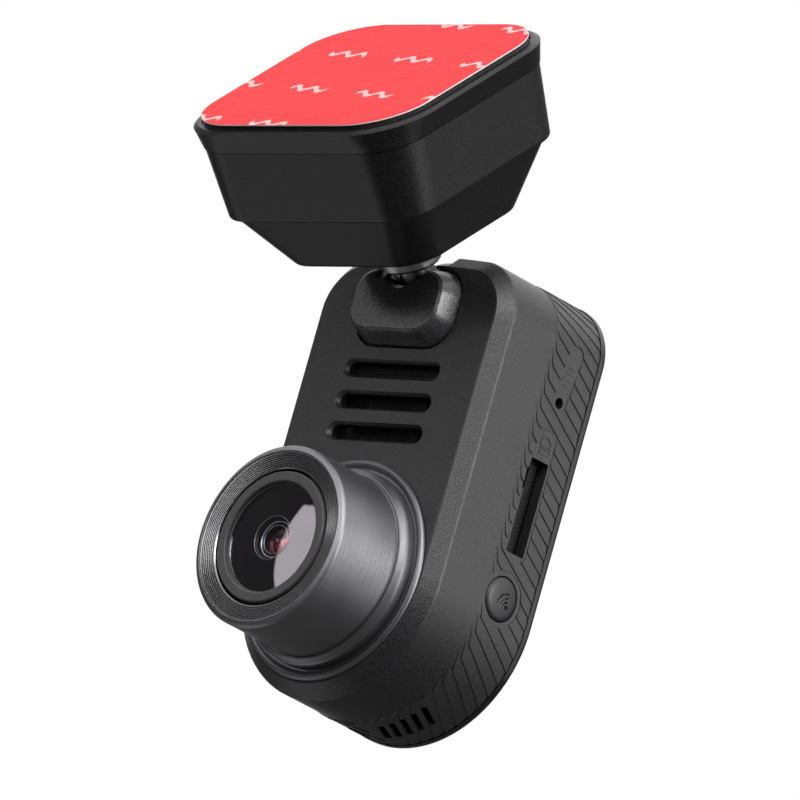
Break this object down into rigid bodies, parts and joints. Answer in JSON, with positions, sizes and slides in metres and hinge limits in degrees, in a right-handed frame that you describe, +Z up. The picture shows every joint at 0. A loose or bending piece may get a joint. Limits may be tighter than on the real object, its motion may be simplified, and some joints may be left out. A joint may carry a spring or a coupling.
{
  "type": "dash camera",
  "caption": "Compact upright dash camera with a projecting round lens barrel, on a ball-jointed square adhesive windscreen mount.",
  "frame": {"origin": "centre of the mount's adhesive face (outer face of the release liner)", "axes": "+Z up with the camera body upright, lens looking along -Y, +X towards the card-slot side; the adhesive face's outward normal leans forward of +Z by 42.4 degrees"},
  "size_m": [0.0396, 0.054, 0.0919],
  "materials": {
    "liner_film": null,
    "foam_tape": "closed-cell acrylic foam",
    "mount_plastic": "fine moulded grain, satin",
    "screw_steel": "black-oxide steel",
    "stud_metal": "dark anodised",
    "nylon": "natural nylon",
    "casing_plastic": "fine spark-eroded grain",
    "rear_gloss": "polished",
    "clear_plastic": "clear",
    "inner_plastic": "matte black",
    "barrel_metal": "satin metallic paint",
    "ring_metal": "turned, fine concentric grooves",
    "ring_grey": "matte grey",
    "lens_glass": "coated optical glass",
    "lens_black": "black anodised",
    "filter_glass": "blue-green filter glass",
    "chip": "moulded epoxy",
    "circuit_board": "solder mask",
    "flex_film": "polyimide film",
    "heat_metal": "extruded",
    "socket_metal": "plated steel",
    "contact_gold": "gold flash",
    "speaker_black": "black",
    "gauze": "woven acoustic gauze",
    "rubber_black": "matte",
    "capacitor_sleeve": "shrink sleeve",
    "button_plastic": "fine grain, raised mark",
    "switch_body": "switch with steel frame"
  },
  "bodies": {
    "mount": {"release_liner": "liner_film", "foam_tape_pad": "foam_tape", "mount_cap": "mount_plastic", "mount_shell": "mount_plastic", "cap_screws": "screw_steel", "mount_foot": "mount_plastic", "foot_screws": "screw_steel"},
    "stud": {"ball_stud": "stud_metal", "stud_washer": "screw_steel", "stud_nut": "screw_steel"},
    "seat": {"ball_seat_front": "nylon", "ball_seat_rear": "nylon"},
    "camera": {"backup_capacitors": "capacitor_sleeve", "base_ring": "barrel_metal", "card_contacts": "contact_gold", "card_socket": "socket_metal", "collar_ring": "barrel_metal", "front_element": "lens_glass", "front_housing": "casing_plastic", "front_ring": "ring_metal", "front_window": "lens_glass", "heat_spreader": "heat_metal", "housing_screws": "screw_steel", "image_sensor": "chip", "infrared_filter": "filter_glass", "inner_ring": "ring_grey", "lens_barrel": "barrel_metal", "lens_cell": "lens_black", "lens_holder": "inner_plastic", "lens_hood": "inner_plastic", "lens_spacers": "lens_black", "main_board": "circuit_board", "memory_chip": "chip", "microphone": "socket_metal", "microphone_boot": "rubber_black", "middle_elements": "lens_glass", "power_socket": "socket_metal", "power_switch": "switch_body", "processor": "chip", "rear_cover": "rear_gloss", "rear_element": "lens_glass", "sensor_board": "circuit_board", "sensor_flex": "flex_film", "sensor_screws": "screw_steel", "socket_bracket": "inner_plastic", "socket_clamp": "inner_plastic", "socket_cover": "casing_plastic", "socket_screws": "screw_steel", "speaker": "speaker_black", "speaker_gasket": "foam_tape", "speaker_gauze": "gauze", "status_light_pipe": "clear_plastic", "wireless_antenna": "contact_gold", "wireless_switch": "switch_body"},
    "wireless_button": {"wireless_button": "button_plastic"},
    "power_button": {"power_button": "button_plastic"}
  },
  "joints": [
    {"name": "camera_pan", "type": "hinge", "parent": "mount", "child": "stud", "pos_m": [0, 0.02562, -0.02806], "axis": [0, -0.6743, 0.7385], "continuous": true},
    {"name": "camera_tilt", "type": "hinge", "parent": "stud", "child": "seat", "pos_m": [0, 0.02562, -0.02806], "axis": [1, 0, 0], "range_deg": [-3, 42]},
    {"name": "camera_roll", "type": "hinge", "parent": "seat", "child": "camera", "pos_m": [0, 0.02562, -0.02806], "axis": [0, 1, 0], "range_deg": [-3, 3]},
    {"name": "wireless_press", "type": "slide", "parent": "camera", "child": "wireless_button", "axis": [-1, 0, 0], "range_m": [0, 0.0004], "stiffness_N_per_m": 2500},
    {"name": "power_press", "type": "slide", "parent": "camera", "child": "power_button", "axis": [1, 0, 0], "range_m": [0, 0.0004], "stiffness_N_per_m": 2500}
  ]
}
